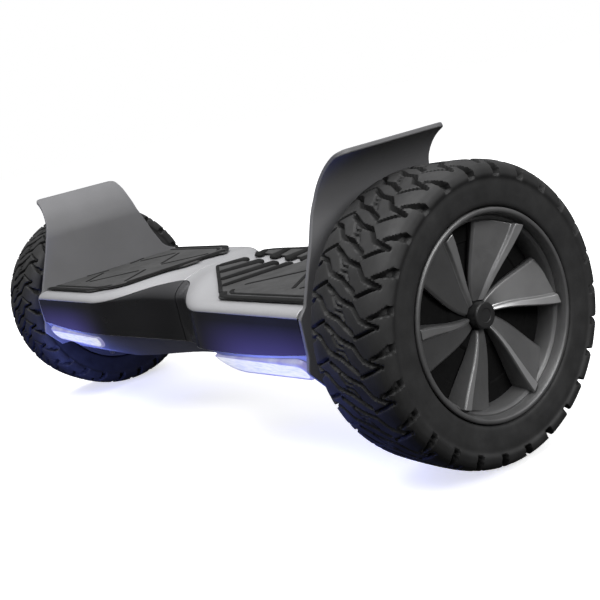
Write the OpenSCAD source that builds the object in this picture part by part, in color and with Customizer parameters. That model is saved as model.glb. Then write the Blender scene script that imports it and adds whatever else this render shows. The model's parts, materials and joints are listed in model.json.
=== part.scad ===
// Two-wheeled self-balancing board: two twisting halves, a hub motor wheel at each end.
// X runs along the wheel axle, Y from front (-) to back (+), Z up. The floor is z = 0.

/* [Wheels] */
// Tyre radius over the tread blocks
tyre_r = 108; // [104:1:112]
// Width of the tyre
tyre_w = 79.5; // [76:0.5:82]
// Distance from the middle of the board to the inner side of each tyre
tyre_in = 271; // [269:1:275]
// Tread blocks around each shoulder
tread_count = 26; // [22:4:30]
// Radius of the tyre's seat on the rim
bead_r = 71; // [70:0.5:72]
// Number of spokes
spoke_count = 6; // [5:1:7]

/* [Body] */
// Distance from the middle of the board to the end of the housing
end_x = 255.7; // [254:0.1:256]
// Half of the housing's depth where the feet stand
end_depth = 99; // [97:1:101]
// Half of the housing's depth at the middle
mid_depth = 60; // [58:1:66]
// Length over which the housing narrows to the middle
taper_len = 115; // [105:1:120]
// Height of the deck
deck_z = 140; // [139:1:142]
// Extra height of the deck at the middle
hump = 9; // [7:1:11]
// Height of the flat underside of the right half
belly_z = 71; // [69:1:72]
// How much deeper the left half is, which holds the battery
battery_drop = 4; // [0:0.5:5]
// Wall of the housing
wall = 3; // [2.6:0.1:3.2]
// Half of the gap between the two halves
seam = 0.8; // [0.6:0.1:1.2]

/* [Fender] */
// Sheet thickness of the fender
fender_t = 3.5; // [3:0.1:4]
// Height of the top of the fender
fender_top = 240.5; // [238:0.5:243]
// Radius of the flare over the tyre
flare_r = 47; // [45:1:48]
// Height at which the flare starts
flare_z = 195; // [193:1:197]

/* [Foot pad] */
// Gap between the pad and the deck, which the foot closes
pad_gap = 1.3; // [1.2:0.1:1.6]
// Thickness of the pad
pad_t = 3.2; // [2.8:0.1:3.6]
// Distance from the middle of the board to the pad's inner edge
pad_in = 32; // [31:1:36]
// Distance from the middle of the board to the pad's outer edge
pad_out = 253; // [248:1:254]

/* [Headlight] */
// Length of the lens
lens_len = 130; // [124:1:132]
// Height of the lens
lens_h = 20; // [17:0.5:20]
// Length over which the lens's inner end tapers
lens_taper = 30; // [20:1:34]
// Distance from the middle of the board to the middle of the lens
lens_x = 184.5; // [183:0.5:186]

/* [Motor] */
// Radius of the shaft where the bearings sit
shaft_r = 7.5; // [7:0.1:7.8]
// Outside radius of the bearings
bearing_r = 17.5; // [17:0.1:18]
// Number of magnets
magnet_count = 30; // [24:2:32]
// Number of stator teeth
tooth_count = 18; // [12:3:24]

/* [Hidden] */

$fn = 48;
axle_z = tyre_r;
fit = 0.02;             // radial clearance of pieces that are pressed or seated together
run = 0.05;             // radial clearance of pieces that turn or slide
gap = 0.3;              // clearance between neighbouring covers
rail_in_end = 11;       // depth of the rounded rail along the deck's edge, at the wheels
rail_in_mid = 50;       // and at the middle
rail_drop_end = 6.5;    // height of that rail, at the wheels
rail_drop_mid = 22;     // and at the middle
rail_split_mid = 46;    // angle up the rail to which the gloss panel climbs at the middle
hump_in = 30;           // the deck's middle stays at full height to here
hump_out = 110;        // and is flat from here
panel_low_out = 100.5;  // lower edge of the gloss panels where the lamp starts
panel_low_mid = 87;     // and at the middle
panel_rise = 6.5;       // how much that edge climbs from there to the fender
rise_from = 130;
lip_drop = 3.5;         // the lower shell's edge lies this far below the panel's
pod_drop = 18;          // and this much more where the lamp is
pod_from = [45, 105];   // the shell deepens from here towards the lamp, left and right
pod_len = [92, 32];     // over this length
chin_in = 14;           // how far the pod's lower edge is set in
keel_mid = 34;          // half of the width of the flat underside, at the middle
keel_end = [66, 49];    // and at the wheels, left and right
plate_z = 93.5;         // underside of the frame's plate
plate_t = 5;
saddle_in = 206;        // inner end of the axle's saddle
saddle_out = 250;
saddle_y = 24;
end_flange_t = 5.2;
tube_r = 14;            // pivot tube
tube_bore = 10.5;
tube_half = 66;
bush_r = 17;
boss_r = 21.5;
boss_out = 61;
fender_x = 256;
hub_x = tyre_in + 55;   // inner face of the wheel's spoke plate
drum_in = tyre_in + 4;
drum_out = tyre_in + tyre_w - 4.5;
drum_r = 64.5;
rear_x = 190;           // the button and the inlet sit on the rear panel of the right half
rear_z = 119;

silver = [0.76, 0.76, 0.77];
gloss_black = [0.10, 0.10, 0.11];
matt_black = [0.13, 0.13, 0.14];
fender_grey = [0.46, 0.46, 0.47];
rubber_black = [0.12, 0.12, 0.12];
rim_grey = [0.30, 0.30, 0.31];
cast_metal = [0.60, 0.61, 0.62];
steel = [0.70, 0.70, 0.72];
board_green = [0.10, 0.32, 0.18];

// ---------- shape of the housing ----------

function smooth(t) = let(c = min(1, max(0, t))) c * c * (3 - 2 * c);
function depth(x) = mid_depth + (end_depth - mid_depth) * smooth(x / taper_len);
function top_z(x) = deck_z + hump * (1 - smooth((x - hump_in) / (hump_out - hump_in)));
function panel_low(x) = panel_low_mid
    + (panel_low_out - panel_low_mid) * smooth(x / taper_len)
    + panel_rise * pow(max(0, x - rise_from) / (end_x - rise_from), 2);
function chin_z(x, k = 1) = panel_low(x) - lip_drop
    - pod_drop * smooth((x - pod_from[k]) / pod_len[k]);
function keel_y(x, k) = keel_mid + (keel_end[k] - keel_mid) * smooth(x / taper_len);
function keel_z(k) = belly_z - battery_drop * (1 - k);
function mid_share(x) = 1 - smooth(x / taper_len);
function rail_in(x) = rail_in_end + (rail_in_mid - rail_in_end) * mid_share(x);
function rail_drop(x) = rail_drop_end + (rail_drop_mid - rail_drop_end) * mid_share(x);
function rail_split(x) = rail_split_mid * mid_share(x);
function panel_top(x) = top_z(x) - rail_drop(x);
function back(list) = [for (i = [len(list) - 1:-1:0]) [-list[i][0], list[i][1]]];

// A point on the front rail, a degrees up its rounding, set in by t.
function rail_point(x, a, t) = [-(depth(x) - rail_in(x)) - (rail_in(x) - t) * cos(a),
    panel_top(x) + (rail_drop(x) - t) * sin(a)];

// Front half of the deck's section, set in by t: up the rail, then to the middle.
function deck_front(x, t) = let(a0 = rail_split(x)) concat(
    [for (k = [0:5]) rail_point(x, a0 + (90 - a0) * k / 5, t)],
    [[-(depth(x) - rail_in(x)) * 0.45, top_z(x) - t]]);
function deck_skin(x, t) = let(f = deck_front(x, t)) concat(f, back(f));

// Section of the lower shell, from the rear panel's foot, under the belly, to the front; k is 0
// for the left half and 1 for the right.
function belly_rear(x, t, k) = let(d = depth(x)) [
    [d - 0.5 - t, panel_low(x)],
    [d - chin_in - t * 0.8, chin_z(x, k) + t * 0.45],
    [keel_y(x, k), keel_z(k) + t]];
function belly_skin(x, t, k) = let(f = belly_rear(x, t, k)) concat(f, back(f));

function panel_skin(x, t) = let(d = depth(x) - t) concat(
    [[-(d - 0.5), panel_low(x) + gap], [-d, (panel_top(x) + panel_low(x)) / 2]],
    [for (k = [0:3]) rail_point(x, -6 + (rail_split(x) + 4 + mid_share(x)) * k / 3, t)]);

// The wall that closes a half at the seam, inside the panels and into the shell's own wall.
function seam_wall() = let(a = rail_split_mid, in = wall + gap) concat(
    [for (k = [0:2]) rail_point(0, (a + 0.5) * k / 2, in)],
    [for (k = [1:4]) rail_point(0, a + (90 - a) * k / 4, 1)]);

// A shell whose section at each x runs along outer[i] and back along inner[i]. Seen from +X,
// with Z up and Y to the right, outer[i] runs clockwise.
module ribbon(xs, outer, inner) {
    n = len(outer[0]);
    m = len(xs);
    pts = concat(
        [for (k = [0:m - 1]) for (i = [0:n - 1]) [xs[k], outer[k][i][0], outer[k][i][1]]],
        [for (k = [0:m - 1]) for (i = [0:n - 1]) [xs[k], inner[k][i][0], inner[k][i][1]]]);
    lift = m * n;
    sides = [for (k = [0:m - 2]) for (i = [0:n - 2]) let(
        a = k * n + i, b = a + 1, c = a + n, d = c + 1)
        each [[a, c, b], [b, c, d], [a + lift, b + lift, c + lift],
              [b + lift, d + lift, c + lift]]];
    edges = [for (k = [0:m - 2]) let(a = k * n, c = a + n, p = a + n - 1, q = p + n)
        each [[a, a + lift, c], [c, a + lift, c + lift],
              [p, q, p + lift], [q, q + lift, p + lift]]];
    ends = [for (i = [0:n - 2]) let(a = i, b = i + 1, e = (m - 1) * n + i, f = e + 1)
        each [[a, b, a + lift], [b, b + lift, a + lift],
              [e, e + lift, f], [f, e + lift, f + lift]]];
    polyhedron(points = pts, faces = [for (f = concat(sides, edges, ends)) [f[2], f[1], f[0]]]);
}

// Stations along the housing: close together where it narrows.
stations = [seam, 14, 28, 42, 56, 70, 84, 96, pod_from[1], hump_out, taper_len, 122, 129, 137,
    160, 185, 210, 235, end_x];

module side(s) {
    if (s > 0) children();
    else mirror([1, 0, 0]) children();
}

// A drawing in the Y-Z plane, given thickness along +X from x0.
module plate_x(x0, t) {
    translate([x0, 0, 0]) rotate([90, 0, 90]) linear_extrude(height = t) children();
}

// A round bar along X on the axle's line.
module bar(x0, x1, r) {
    translate([x0, 0, axle_z]) rotate([0, 90, 0]) cylinder(h = x1 - x0, r = r);
}

module ring(x0, x1, r_in, r_out) {
    difference() {
        bar(x0, x1, r_out);
        bar(x0 - 1, x1 + 1, r_in);
    }
}

// Places children on a circle around the axle's line, starting straight down.
module around(count, first = 0) {
    for (i = [0:count - 1])
        translate([0, 0, axle_z]) rotate([first + i * 360 / count, 0, 0])
            translate([0, 0, -axle_z]) children();
}

// ---------- housing ----------

module deck_shell(s) color(silver) side(s) difference() {
    union() {
        ribbon(stations, [for (x = stations) deck_skin(x, 0)],
            [for (x = stations) deck_skin(x, wall)]);
        plate_x(seam, wall) difference() {
            polygon(concat([[-(mid_depth - wall - 3 * gap), axle_z + gap]], seam_wall(),
                back(seam_wall()), [[mid_depth - wall - 3 * gap, axle_z + gap]]));
            translate([0, axle_z]) circle(r = tube_r + 6);
        }
    }
    for (y = plunger_ys) translate([plunger_x, y, deck_z - 8])
        cylinder(h = 16, r = plunger_r + run);
}

module gloss_panel(s) side(s) ribbon(stations,
    [for (x = stations) panel_skin(x, 0)], [for (x = stations) panel_skin(x, wall)]);

module front_panel(s) color(gloss_black) gloss_panel(s);

module rear_panel_left() color(gloss_black) mirror([0, 1, 0]) gloss_panel(-1);

module rear_panel_right() color(gloss_black) difference() {
    union() {
        mirror([0, 1, 0]) gloss_panel(1);
        for (x = [-7.4, 5.4]) translate([rear_x + x, end_depth - 1, cap_hinge_z - 1.5])
            cube([2, 4, 3]);
    }
    translate([rear_x - 9, cap_hinge_y, cap_hinge_z]) rotate([0, 90, 0])
        cylinder(h = 18, r = cap_pin_r + run);
    translate([rear_x, end_depth - 8, rear_z]) rotate([-90, 0, 0])
        cylinder(h = 12, r = inlet_r + 0.1);
    translate([rear_x - 42, end_depth - 8, rear_z]) rotate([-90, 0, 0])
        cylinder(h = 12, r = button_r + run);
}

// The slanted face that carries the headlight, as a frame: x along, y up the slope, z out.
slant_low = [end_depth - chin_in, chin_z(lens_x)];
slant_high = [end_depth - 0.5, panel_low(lens_x)];
lens_roll = 2.8;        // the lamp climbs towards the wheel by this angle
lens_down = 0.8;        // and sits this far below the middle of the slanted face
slant_tilt = atan2(slant_high[1] - slant_low[1], slant_high[0] - slant_low[0]);
slant_mid = (slant_low + slant_high) / 2;

module on_slant(x0) {
    translate([x0, -slant_mid[0], slant_mid[1]])
        rotate([180 - slant_tilt, 0, 0]) translate([0, -lens_down, 0])
            rotate(lens_roll) children();
}

// The lamp's outline, grown by e: round at the wheel's end, a long curve at the other.
module lens_2d(e) {
    half = lens_len / 2;
    r = lens_h / 2;
    polygon(concat(
        [for (a = [-90:15:90]) [half - r + (r + e) * cos(a), (r + e) * sin(a)]],
        [for (a = [90:-15:0]) [lens_taper - half - (lens_taper + e) * sin(a),
            r - (lens_h + e) * cos(a)]]));
}

module bottom_shell(s, k) color(matt_black) side(s) difference() {
    union() {
        ribbon(stations, [for (x = stations) belly_skin(x, 0, k)],
            [for (x = stations) belly_skin(x, wall, k)]);
        plate_x(seam, wall) difference() {
            polygon([[-(mid_depth - wall - 3 * gap), axle_z - gap],
                [-(mid_depth - wall - 3 * gap), panel_low_mid - 1],
                [-(mid_depth - chin_in - 1), chin_z(0) + 0.6], [-keel_mid, keel_z(k) + 1],
                [keel_mid, keel_z(k) + 1], [mid_depth - chin_in - 1, chin_z(0) + 0.6],
                [mid_depth - wall - 3 * gap, panel_low_mid - 1],
                [mid_depth - wall - 3 * gap, axle_z - gap]]);
            translate([0, axle_z]) circle(r = tube_r + 6);
        }
    }
    on_slant(lens_x) translate([0, 0, -12]) linear_extrude(height = 24)
        lens_2d(gap);
    for (p = belly_screws) translate([p[0], p[1], keel_z(k) - 2]) cylinder(h = 8, r = 3.6);
}

module headlight_lens(s) color([0.90, 0.90, 1.0]) side(s) on_slant(lens_x)
    translate([0, 0, -5]) linear_extrude(height = 7.5) lens_2d(0);

module headlight_board(s) color("white") side(s) on_slant(lens_x) union() {
    translate([0, 0, -9]) cube([lens_len - 22, 14, 1.6], center = true);
    for (i = [-4:4]) translate([i * 11.5, 0, -7.2]) cube([5, 5, 2.4], center = true);
}

// ---------- fender ----------

fender_edge = [[-58, fender_top + 1], [-61, 226], [-64.5, 211], [-68.5, 200], [-75, 182],
    [-92, deck_z + 0.5], [-98.5, 133.5], [-99, 106.5], [-102, 95], [-86, 76]];
fender_back = [[86, 76], [99, 104], [98.5, 133.5], [90, deck_z + 0.5], [76, 147], [70, 152],
    [61.5, 169], [55.2, 185.6], [48.5, 202], [45, 219], [43, fender_top + 1]];

// The sheet's section: straight up, then a flare that arches over the tyre.
module fender_profile() {
    translate([fender_x, 60]) square([fender_t, flare_z - 60]);
    difference() {
        translate([fender_x + flare_r, flare_z]) circle(r = flare_r, $fn = 96);
        translate([fender_x + flare_r, flare_z]) circle(r = flare_r - fender_t, $fn = 96);
        translate([fender_x - 1, flare_z - 60]) square([2 * flare_r + 2, 60]);
        translate([fender_x + flare_r * 0.76, flare_z - 1]) square([flare_r * 2, flare_r + 4]);
    }
}

module fender(s) color(fender_grey) side(s) difference() {
    intersection() {
        translate([0, 130, 0]) rotate([90, 0, 0]) linear_extrude(height = 260)
            fender_profile();
        translate([fender_x - 5, 0, 0]) rotate([90, 0, 90]) linear_extrude(height = 80)
            polygon(concat(fender_edge, fender_back));
    }
    bar(fender_x - 2, fender_x + 8, shaft_r + 3);
    for (p = fender_screws) translate([fender_x - 2, p[0], p[1]]) rotate([0, 90, 0])
        cylinder(h = 10, r = 2.6);
}

// ---------- frame ----------

frame_plan = [[6, -40], [66, -52], [114, -74], [saddle_out, -74],
    [saddle_out, 74], [114, 74], [66, 52], [6, 40]];
belly_screws = [[34, -28], [34, 28], [240, -42], [240, 42]];
fender_screws = [[-36, 92], [36, 92], [-36, 118], [36, 118]];
clamp_screws = [[216, -18], [216, 18], [240, -18], [240, 18]];

module frame(s) color(cast_metal) side(s) difference() {
    union() {
        translate([0, 0, plate_z]) linear_extrude(height = plate_t) polygon(frame_plan);
        bar(6, boss_out, boss_r);
        for (y = [-70, 67]) translate([112, y, plate_z]) cube([136, 3, 13]);
        for (x = [80, 112, 198]) translate([x, -55, plate_z]) cube([3, 110, 10]);
        translate([saddle_in, -saddle_y, plate_z])
            cube([saddle_out - saddle_in, 2 * saddle_y, axle_z - plate_z - gap]);
        translate([saddle_out, -48, 84]) cube([end_flange_t, 96, 44]);
    }
    bar(0, boss_out + 2, s < 0 ? tube_r + fit : bush_r + fit);
    bar(boss_out, tube_half + 3, tube_r + 5);
    bar(saddle_in - 12, saddle_out + 8, shaft_r + 0.5 + fit);
    for (p = clamp_screws) translate([p[0], p[1], plate_z + 1]) cylinder(h = 20, r = 2.5);
    for (p = fender_screws) translate([saddle_out - 1, p[0], p[1]]) rotate([0, 90, 0])
        cylinder(h = 10, r = 2.1);
    for (p = belly_screws) translate([p[0], p[1], plate_z - 6]) cylinder(h = 20, r = 2.1);
}

module axle_clamp(s) color(cast_metal) side(s) difference() {
    translate([saddle_in + 2, -saddle_y, axle_z + gap])
        cube([saddle_out - saddle_in - 4, 2 * saddle_y, 14]);
    bar(saddle_in - 4, saddle_out + 8, shaft_r + 0.5 + fit);
    for (p = clamp_screws) translate([p[0], p[1], axle_z - 2]) cylinder(h = 20, r = 2.7);
}

module clamp_screws(s) color(steel) side(s)
    for (p = clamp_screws) translate([p[0], p[1], 0]) {
        translate([0, 0, plate_z + 3]) cylinder(h = 29, r = 2.4);
        translate([0, 0, axle_z + gap + 14.1]) difference() {
            cylinder(h = 5, r = 4.2);
            translate([0, 0, 2]) cylinder(h = 4, r = 2.2, $fn = 6);
        }
    }

module shell_screws(s, k) color([0.15, 0.15, 0.16]) side(s) {
    for (p = belly_screws) translate([p[0], p[1], 0]) {
        translate([0, 0, keel_z(k) + 0.4]) difference() {
            cylinder(h = 2.4, r = 3.4);
            translate([0, 0, -1]) cylinder(h = 2, r = 1.4, $fn = 6);
        }
        translate([0, 0, keel_z(k) + 2]) cylinder(h = plate_z + 2.5 - keel_z(k), r = 2);
    }
    for (p = fender_screws) translate([0, p[0], p[1]]) {
        bar_at(saddle_out + 0.5, fender_x + fender_t + 1, 2);
        difference() {
            bar_at(fender_x + fender_t + 0.1, fender_x + fender_t + 2.4, 4.4);
            translate([fender_x + fender_t + 1.2, 0, 0]) rotate([0, 90, 0])
                cylinder(h = 3, r = 1.6, $fn = 6);
        }
    }
}

module bar_at(x0, x1, r) {
    translate([x0, 0, 0]) rotate([0, 90, 0]) cylinder(h = x1 - x0, r = r);
}

// ---------- foot pad and its switches ----------

plunger_x = 172;
plunger_ys = [-44, 44];
plunger_r = 5;
pad_stations = [pad_in, 44, 57, 70, 85, 100, 115, 119, 123, 128, 134, pad_out];

function pad_y(x) = x < 115 ? 26 + 50 * (x - pad_in) / (115 - pad_in)
    : 76 + 11 * smooth((x - 115) / 19);
function pad_skin(x, z) = [for (k = [-1, -0.5, 0, 0.5, 1]) [k * pad_y(x), top_z(x) + z]];

module foot_pad(s) color(rubber_black) side(s) union() {
    ribbon(pad_stations, [for (x = pad_stations) pad_skin(x, pad_gap + pad_t)],
        [for (x = pad_stations) pad_skin(x, pad_gap)]);
    for (y = plunger_ys) translate([plunger_x, y, deck_z - 11])
        cylinder(h = 11 + pad_gap + 1, r = plunger_r);
}

module foot_switches(s) color(board_green) side(s)
    for (y = plunger_ys) translate([plunger_x, y, 0]) union() {
        translate([-14, -9, plate_z + plate_t + 4]) cube([28, 18, 1.6]);
        translate([-9, -6, plate_z + plate_t + 5.4]) cube([18, 12, 23]);
        for (x = [-11, 11]) translate([x, 0, plate_z + plate_t + 0.1]) cylinder(h = 4, r = 2);
    }

module sensor_board(s) color(board_green) side(s) translate([136, 0, plate_z + plate_t]) {
    for (x = [-13, 13]) for (y = [-15, 15]) translate([x, y, 0.1]) cylinder(h = 4, r = 2);
    translate([-16, -19, 4]) cube([32, 38, 1.6]);
    translate([-5, -5, 5.5]) cube([10, 10, 1.5]);
    translate([-12, 9, 5.5]) cube([12, 6, 6]);
}

// ---------- hub motor and wheel ----------

module axle(s) color(steel) side(s) union() {
    difference() {
        bar(saddle_in - 8, tyre_in - 8, shaft_r + 0.5);
        translate([saddle_in - 9, -10, axle_z + shaft_r - 0.8]) cube([12, 20, 5]);
    }
    bar(tyre_in - 8.5, tyre_in + 62, shaft_r);
    bar(tyre_in + 11, hub_x - 10.2, 12);
}

module stator(s) color([0.62, 0.38, 0.20]) side(s) union() {
    ring(tyre_in + 14, tyre_in + 43, 12 + fit, 34);
    around(tooth_count) translate([tyre_in + 16, -3.2, axle_z - 57]) cube([25, 6.4, 26]);
    around(tooth_count) translate([tyre_in + 14, -7.5, axle_z - 58.2]) cube([29, 15, 4]);
}

module magnet_ring(s) color([0.45, 0.45, 0.47]) side(s) {
    ring(tyre_in + 13, tyre_in + 44, 61.4, drum_r - fit);
    around(magnet_count) translate([tyre_in + 14, -4.6, axle_z - 61.6]) cube([29, 9.2, 2.2]);
}

module bearings(s) color(steel) side(s) {
    ring(tyre_in - 7, tyre_in + 4, shaft_r + fit, bearing_r - fit);
    ring(hub_x - 10, hub_x - 1, shaft_r + fit, bearing_r - fit);
}

module motor_cover(s) color(rim_grey) side(s) difference() {
    union() {
        bar(tyre_in - 1, tyre_in + 3.9, bead_r - 0.6);
        bar(tyre_in - 6, tyre_in + 5, bearing_r + 6);
        around(8) translate([tyre_in - 3, -2, axle_z - 60]) cube([3, 4, 38]);
    }
    bar(tyre_in - 8, tyre_in + 8, bearing_r);
    around(8, 22.5) translate([tyre_in - 3, 0, axle_z - drum_screw_r]) rotate([0, 90, 0])
        cylinder(h = 12, r = 2.2);
}

drum_screw_r = (drum_r + bead_r) / 2;

module motor_screws(s) color(steel) side(s) around(8, 22.5)
    translate([tyre_in, 0, axle_z - drum_screw_r]) {
        bar_at(-1, 11, 2);
        difference() {
            bar_at(-3.6, -1.1, 3.6);
            translate([-4.6, 0, 0]) rotate([0, 90, 0]) cylinder(h = 2.4, r = 1.5, $fn = 6);
        }
    }

module rim(s) color(rim_grey) side(s) difference() {
    union() {
        difference() {
            union() {
                bar(drum_in, drum_out, bead_r - fit);
                bar(drum_out - 3, drum_out + 2, bead_r + 3);
                bar(drum_in, drum_in + 3, bead_r + 3);
            }
            bar(drum_in - 1, hub_x - 4, drum_r);
            bar(hub_x, drum_out + 4, drum_r);
        }
        bar(hub_x - 10.5, hub_x - 2, bearing_r + 5);
    }
    bar(hub_x - 12, hub_x - 0.9, bearing_r);
    bar(hub_x - 2, hub_x + 20, shaft_r + 1);
    around(8, 22.5) translate([drum_in - 2, 0, axle_z - drum_screw_r]) rotate([0, 90, 0])
        cylinder(h = 9.5, r = 2.1);
}

// Each spoke is a flat blade, tilted about its own radius like a fan's: (along, outwards).
spoke_section = [[15, -3.5], [12, -4.5], [-13, 6], [-15, 9], [-12, 9.5], [14, -0.5]];
spoke_first = 155.5;

module spokes(s) side(s) around(spoke_count, spoke_first)
    translate([hub_x + 8.5, 0, axle_z - drum_r - 1]) linear_extrude(height = drum_r - 9.4)
        polygon([for (p = spoke_section) [p[1], p[0]]]);

module spoked_rim(s) color(rim_grey) union() {
    rim(s);
    spokes(s);
}

// A cup over the end of the axle.
module hub_cap(s) color([0.22, 0.22, 0.23]) side(s) difference() {
    bar(hub_x + 0.1, hub_x + 10.5, 9.5);
    bar(hub_x - 1, hub_x + 8, shaft_r + 0.6);
}

tread_base = tyre_r - 7;
half_w = tyre_w / 2;
carcass = [[bead_r, -half_w + 7.9], [bead_r + 3.3, -half_w + 7.9],
    [bead_r + 3.5, -half_w + 3.2], [bead_r + 7, -half_w + 1.2], [bead_r + 17, -half_w],
    [tread_base - 3, -half_w + 3], [tread_base, -half_w + 10], [tread_base + 1, 0],
    [tread_base, half_w - 10], [tread_base - 3, half_w - 3], [bead_r + 17, half_w],
    [bead_r + 7, half_w - 1.2], [bead_r + 3.5, half_w - 3.2],
    [bead_r + 3.3, half_w - 7.9], [bead_r, half_w - 7.9]];
block_section = [[tread_base - 3, 3], [tyre_r, 3], [tyre_r, half_w - 13],
    [tyre_r - 2.5, half_w - 6.5], [tyre_r - 9, half_w - 0.8], [tread_base - 8, half_w - 2]];
block_len = 20;

module tyre(s) color(rubber_black) side(s) union() {
    translate([tyre_in + half_w, 0, axle_z]) rotate([0, 90, 0]) rotate_extrude()
        polygon(carcass);
    around(tread_count) for (e = [0, 1]) translate([tyre_in + half_w, 0, axle_z])
        mirror([e, 0, 0]) translate([0, block_len / 2, 0]) rotate([90, 0, 0])
            linear_extrude(height = block_len) polygon([for (p = block_section) [p[1], -p[0]]]);
}

// ---------- battery, electronics, switch and inlet ----------

battery_x = 76;
battery_len = 132;
battery_half = 54;
battery_z = keel_z(0) + wall;

module battery_pack() color([0.10, 0.25, 0.60]) side(-1)
    translate([battery_x, -battery_half, battery_z + 0.4])
        cube([battery_len, 2 * battery_half, plate_z - battery_z - 1.6]);

module battery_bracket() color(cast_metal) side(-1) union() {
    for (y = [-battery_half - 2.4, battery_half + 0.3])
        translate([battery_x + 24, y, battery_z + 6]) cube([84, 2.1, plate_z - battery_z - 6.2]);
    for (y = [-battery_half - 13, battery_half + 2])
        translate([battery_x + 24, y, plate_z - 2.3]) cube([84, 11, 2.1]);
}

module main_board() color(board_green) translate([78, -46, plate_z - 9]) union() {
    cube([118, 92, 1.8]);
    for (x = [6, 112]) for (y = [6, 86]) translate([x, y, 1.5]) cylinder(h = 7.4, r = 3);
    translate([14, 10, -7]) cube([70, 14, 7.4]);
    for (y = [34, 50, 66]) translate([98, y, -8]) cylinder(h = 8.4, r = 6);
    for (i = [0:3]) translate([20 + i * 17, 70, -6]) cube([11, 8, 6.4]);
}

inlet_r = 9;
button_r = 7;
cap_pin_r = 0.8;
cap_hinge_y = end_depth + 1.5;
cap_hinge_z = rear_z + 12.2;

module charge_inlet() color([0.14, 0.14, 0.15]) translate([rear_x, end_depth, rear_z])
    rotate([-90, 0, 0]) union() {
        difference() {
            translate([0, 0, -16]) cylinder(h = 16, r = inlet_r);
            translate([0, 0, -11]) cylinder(h = 14, r = 6.8);
        }
        for (a = [90, 210, 330]) rotate(a) translate([3.4, 0, -12]) cylinder(h = 9, r = 0.9);
        translate([0, 0, -7.3]) difference() {
            cylinder(h = 3.7, r = inlet_r + 3);
            translate([0, 0, -1]) cylinder(h = 6, r = inlet_r - 1);
        }
    }

module inlet_cap() color(rubber_black) translate([rear_x, end_depth + 0.4, rear_z]) union() {
    rotate([-90, 0, 0]) cylinder(h = 2.2, r = 10.5);
    rotate([-90, 0, 0]) translate([0, 0, -3.4]) cylinder(h = 4, r = 6.4);
    translate([-4.9, 0, 9.5]) cube([9.8, 2.2, cap_hinge_z - rear_z - 9.5]);
    translate([-4.9, cap_hinge_y - end_depth - 0.4, cap_hinge_z - rear_z]) rotate([0, 90, 0])
        cylinder(h = 9.8, r = 1.1);
    translate([-7.2, cap_hinge_y - end_depth - 0.4, cap_hinge_z - rear_z]) rotate([0, 90, 0])
        cylinder(h = 14.4, r = cap_pin_r);
}

module power_button() color([0.35, 0.35, 0.36]) translate([rear_x - 42, end_depth, rear_z])
    rotate([-90, 0, 0]) union() {
        translate([0, 0, -6]) cylinder(h = 7.2, r = button_r);
        translate([0, 0, -6.4]) cylinder(h = 1.6, r = button_r + 1.8);
    }

module button_switch() color([0.16, 0.16, 0.17]) translate([rear_x - 42, end_depth, rear_z])
    union() {
        translate([-7, -16, -7]) cube([14, 7.4, 14]);
        translate([-11, -15, -11]) cube([22, 2, 22]);
        for (x = [-10, 10]) translate([x, -14, -8]) rotate([-90, 0, 0])
            cylinder(h = 10.5, r = 1);
    }

// ---------- twist pivot ----------

module pivot_tube() color(steel) union() {
    difference() {
        ring(-tube_half, tube_half, tube_bore, tube_r);
        ring(boss_out + 2.6, boss_out + 4, tube_r - 1, tube_r + 1);
    }
}

module pivot_bushes() color([0.72, 0.60, 0.30]) for (x = [6.2, boss_out - 14])
    ring(x, x + 13.8, tube_r + run, bush_r);

module pivot_ring() color([0.2, 0.2, 0.21])
    ring(boss_out + 2.8, boss_out + 3.8, tube_r - 0.9, tube_r + 3.5);

module wiring_loom() color([0.18, 0.18, 0.19]) for (p = [[-3.4, 2], [3.4, 2], [0, -3.6]])
    translate([-76, p[0], axle_z + p[1]]) rotate([0, 90, 0]) cylinder(h = 152, r = 2.8);

frame(-1);  // left_frame
axle(-1);  // left_axle
axle_clamp(-1);  // left_axle_clamp
clamp_screws(-1);  // left_clamp_screws
stator(-1);  // left_stator
bottom_shell(-1, 0);  // left_bottom_shell
front_panel(-1);  // left_front_panel
rear_panel_left();  // left_rear_panel
deck_shell(-1);  // left_deck_shell
fender(-1);  // left_fender
shell_screws(-1, 0);  // left_shell_screws
headlight_lens(-1);  // left_headlight_lens
headlight_board(-1);  // left_headlight_board
sensor_board(-1);  // left_sensor_board
foot_switches(-1);  // left_foot_switches
foot_pad(-1);  // left_foot_pad
tyre(-1);  // left_tyre
spoked_rim(-1);  // left_rim
magnet_ring(-1);  // left_magnet_ring
motor_cover(-1);  // left_motor_cover
motor_screws(-1);  // left_motor_screws
hub_cap(-1);  // left_hub_cap
bearings(-1);  // left_bearings
frame(1);  // right_frame
axle(1);  // right_axle
axle_clamp(1);  // right_axle_clamp
clamp_screws(1);  // right_clamp_screws
stator(1);  // right_stator
bottom_shell(1, 1);  // right_bottom_shell
front_panel(1);  // right_front_panel
rear_panel_right();  // right_rear_panel
deck_shell(1);  // right_deck_shell
fender(1);  // right_fender
shell_screws(1, 1);  // right_shell_screws
headlight_lens(1);  // right_headlight_lens
headlight_board(1);  // right_headlight_board
sensor_board(1);  // right_sensor_board
foot_switches(1);  // right_foot_switches
foot_pad(1);  // right_foot_pad
tyre(1);  // right_tyre
spoked_rim(1);  // right_rim
magnet_ring(1);  // right_magnet_ring
motor_cover(1);  // right_motor_cover
motor_screws(1);  // right_motor_screws
hub_cap(1);  // right_hub_cap
bearings(1);  // right_bearings
battery_pack();
battery_bracket();
main_board();
charge_inlet();
inlet_cap();
power_button();
button_switch();
pivot_tube();
pivot_bushes();
pivot_ring();
wiring_loom();
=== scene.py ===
import json
import math

import bmesh
import bpy
import numpy as np
from mathutils import Matrix, Vector


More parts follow.
